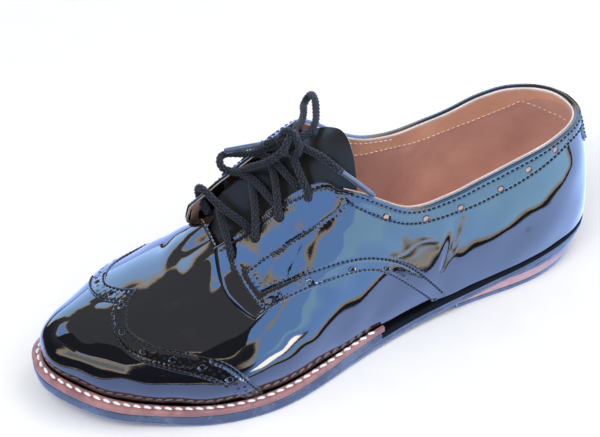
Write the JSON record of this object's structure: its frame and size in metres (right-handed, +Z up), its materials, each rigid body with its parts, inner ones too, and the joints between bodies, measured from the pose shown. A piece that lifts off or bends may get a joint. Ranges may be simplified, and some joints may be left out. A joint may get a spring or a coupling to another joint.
{
  "type": "lace-up flat",
  "caption": "Left lace-up wing-tip shoe with open lacing, low stacked heel and a pointed toe, empty and standing on its sole.",
  "frame": {"origin": "on the floor under the middle of the shoe's box, without the bow", "axes": "+Z up, -X towards the toe, +X towards the heel, -Y towards the outer (lateral) side"},
  "size_m": [0.2509, 0.0934, 0.1008],
  "materials": {
    "patent_black": "high-gloss black patent leather",
    "sole_black": "smooth black with a satin edge",
    "leather_tan": "pinkish-brown edge-finished leather",
    "lining_tan": "soft matt pinkish-tan lining leather",
    "lace_black": "round braided charcoal cord",
    "aglet_clear": "shiny grey see-through tip"
  },
  "bodies": {
    "root": {"outsole": "sole_black", "top_piece": "sole_black", "heel_stack": "leather_tan", "welt": "leather_tan", "insole": "lining_tan", "upper": "patent_black", "tongue": "patent_black", "lace_bars": "lace_black", "lace_knot": "lace_black", "lace_loop_a": "lace_black", "lace_loop_b": "lace_black", "lace_end_a": "lace_black", "lace_end_b": "lace_black", "aglet_a": "aglet_clear", "aglet_b": "aglet_clear"}
  },
  "joints": []
}
